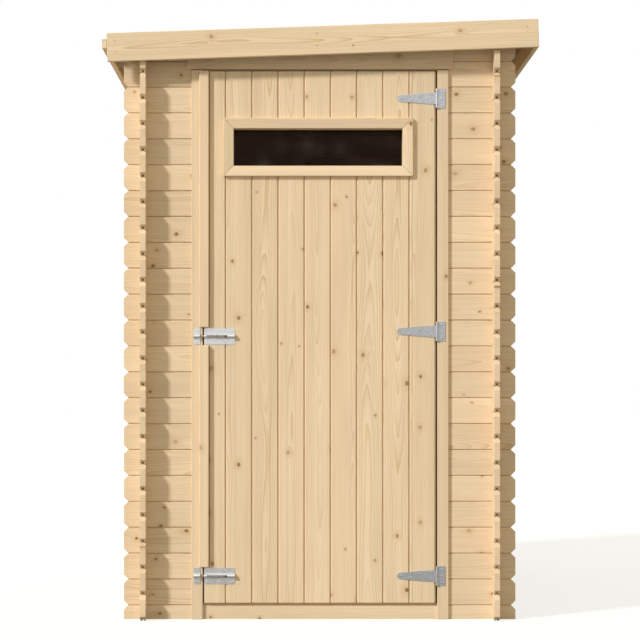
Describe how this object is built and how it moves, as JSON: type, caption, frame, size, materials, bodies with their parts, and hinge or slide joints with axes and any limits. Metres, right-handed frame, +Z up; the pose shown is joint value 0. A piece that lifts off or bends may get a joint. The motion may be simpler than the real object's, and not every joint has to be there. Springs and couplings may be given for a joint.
{
  "type": "garden shed",
  "caption": "Small wooden garden shed of interlocking boards with a pent roof and a hinged boarded door that has a strip window and barrel bolts.",
  "frame": {"origin": "on the ground, under the middle of the shed's box", "axes": "+X to the right when facing the door, -Y towards the person who faces the door, +Z up"},
  "size_m": [1.4698, 1.92, 2.0246],
  "materials": {
    "wall_boards": "planed bare spruce boards",
    "frame_timber": "planed bare spruce",
    "trim_timber": "planed bare spruce",
    "bearer_timber": "sawn and impregnated softwood",
    "floor_boards": "planed bare spruce boards",
    "roof_boards": "planed bare spruce boards",
    "roof_edge_timber": "planed bare spruce",
    "door_timber": "planed bare spruce",
    "galvanised_steel": "dull galvanised",
    "zinc_plated_steel": "bright zinc plated",
    "window_glass": "clear flat pane in front of a dark room",
    "roofing_felt": "mineral roofing felt"
  },
  "bodies": {
    "shed": {"front_wall_left": "wall_boards", "front_wall_right": "wall_boards", "front_wall_top": "wall_boards", "threshold": "wall_boards", "left_wall": "wall_boards", "right_wall": "wall_boards", "back_wall": "wall_boards", "door_post_left": "frame_timber", "door_post_right": "frame_timber", "door_head": "frame_timber", "roof_purlin": "frame_timber", "jamb_trim_left": "trim_timber", "jamb_trim_right": "trim_timber", "header_trim": "trim_timber", "floor_bearers": "bearer_timber", "floor_boards": "floor_boards", "roof_deck": "roof_boards", "roof_felt": "roofing_felt", "barge_front": "roof_edge_timber", "barge_back": "roof_edge_timber", "fascia": "roof_edge_timber", "eave_strip": "roof_edge_timber", "hinge_plate_bottom": "galvanised_steel", "hinge_plate_middle": "galvanised_steel", "hinge_plate_top": "galvanised_steel", "bolt_keeper_lower": "zinc_plated_steel", "bolt_keeper_upper": "zinc_plated_steel"},
    "door": {"door_leaf": "door_timber", "door_ledge_bottom": "door_timber", "door_ledge_middle": "door_timber", "door_ledge_top": "door_timber", "door_brace": "door_timber", "cover_strip_lower": "door_timber", "cover_strip_upper": "door_timber", "window_frame": "door_timber", "window_casing": "door_timber", "window_glass": "window_glass", "hinge_strap_bottom": "galvanised_steel", "hinge_strap_middle": "galvanised_steel", "hinge_strap_top": "galvanised_steel", "bolt_plate_lower": "zinc_plated_steel", "bolt_plate_upper": "zinc_plated_steel"},
    "lower_bolt": {"bolt_rod_lower": "zinc_plated_steel"},
    "upper_bolt": {"bolt_rod_upper": "zinc_plated_steel"}
  },
  "joints": [
    {"name": "door_hinge", "type": "hinge", "parent": "shed", "child": "door", "pos_m": [0.3967, -0.9, 0.977], "axis": [0, 0, 1], "range_deg": [0, 150]},
    {"name": "upper_bolt_slide", "type": "slide", "parent": "door", "child": "upper_bolt", "axis": [1, 0, 0], "range_m": [-0.03, 0.032]},
    {"name": "lower_bolt_slide", "type": "slide", "parent": "door", "child": "lower_bolt", "axis": [1, 0, 0], "range_m": [-0.03, 0.032]}
  ]
}
